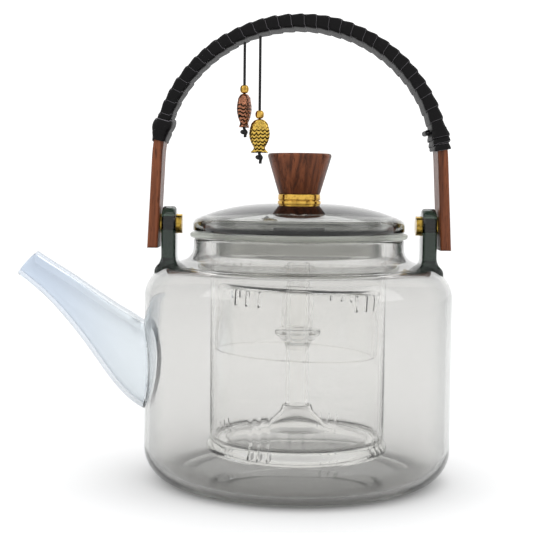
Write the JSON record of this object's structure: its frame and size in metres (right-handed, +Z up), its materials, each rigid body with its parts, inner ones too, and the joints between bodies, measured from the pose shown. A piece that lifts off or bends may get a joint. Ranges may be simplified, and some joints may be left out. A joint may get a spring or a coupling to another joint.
{
  "type": "glass teapot with infuser",
  "caption": "Round glass teapot with a percolating glass infuser, a domed lid with a wooden knob and a swinging bent-wood handle wrapped in leather.",
  "frame": {"origin": "centre of the flat base on the table, on the pot's axis", "axes": "+Z up along the pot's axis, -X towards the spout, X along the handle's pivot axis, Y across"},
  "size_m": [0.1986, 0.14, 0.2108],
  "materials": {
    "smoke_glass": "clear smoke-grey borosilicate",
    "blue_glass": "pale blue-grey borosilicate",
    "dark_glass": "thick dark green-grey glass",
    "clear_glass": "clear borosilicate",
    "silicone": "translucent grey silicone",
    "brass": "polished",
    "steel": "satin",
    "walnut": "satin oiled walnut",
    "black_leather": "soft sheen",
    "aged_copper": "antique copper",
    "black_cord": "waxed cord"
  },
  "bodies": {
    "pot": {"pot_body": "smoke_glass", "spout": "blue_glass", "lug_left": "dark_glass", "lug_right": "dark_glass", "lug_sleeve_left": "silicone", "lug_sleeve_right": "silicone"},
    "handle": {"handle_strip": "walnut", "wrap": "black_leather", "wrap_band_left": "black_leather", "wrap_band_right": "black_leather", "wrap_tail": "black_leather", "pivot_screw_left": "brass", "pivot_screw_right": "brass", "leg_washer_left": "brass", "leg_washer_right": "brass", "nut_washer_left": "brass", "nut_washer_right": "brass", "pivot_nut_left": "brass", "pivot_nut_right": "brass"},
    "liner": {"liner": "clear_glass", "liner_floor": "clear_glass", "riser_tube": "clear_glass"},
    "hood": {"hood": "clear_glass", "hood_sleeve": "clear_glass"},
    "lid": {"lid": "smoke_glass", "lid_skirt": "smoke_glass", "knob_collar": "brass", "knob": "walnut", "knob_screw": "steel", "lid_gasket": "silicone", "lid_plate": "steel"},
    "charm_copper": {"cord_copper": "black_cord", "bead_copper": "brass", "fish_copper": "aged_copper", "knot_copper": "black_cord"},
    "charm_gold": {"cord_gold": "black_cord", "bead_gold": "brass", "fish_gold": "brass", "knot_gold": "black_cord"}
  },
  "joints": [
    {"name": "handle_swing", "type": "hinge", "parent": "pot", "child": "handle", "pos_m": [0, 0, 0.11604], "axis": [1, 0, 0], "range_deg": [-90, 90]},
    {"name": "liner_lift", "type": "slide", "parent": "pot", "child": "liner", "axis": [0, 0, 1], "range_m": [0, 0.016]},
    {"name": "hood_lift", "type": "slide", "parent": "liner", "child": "hood", "axis": [0, 0, 1], "range_m": [0, 0.009]},
    {"name": "lid_lift", "type": "slide", "parent": "liner", "child": "lid", "axis": [0, 0, 1], "range_m": [0, 0.016]},
    {"name": "charm_copper_swing", "type": "hinge", "parent": "handle", "child": "charm_copper", "pos_m": [0, -0.009, 0.19563], "axis": [1, 0, 0], "range_deg": [-90, 90]},
    {"name": "charm_gold_swing", "type": "hinge", "parent": "handle", "child": "charm_gold", "pos_m": [0, -0.009, 0.19563], "axis": [1, 0, 0], "range_deg": [-90, 90]}
  ],
  "couplings": [
    {"joint": "charm_copper_swing", "follows": "handle_swing", "ratio": -1},
    {"joint": "charm_gold_swing", "follows": "handle_swing", "ratio": -1}
  ]
}
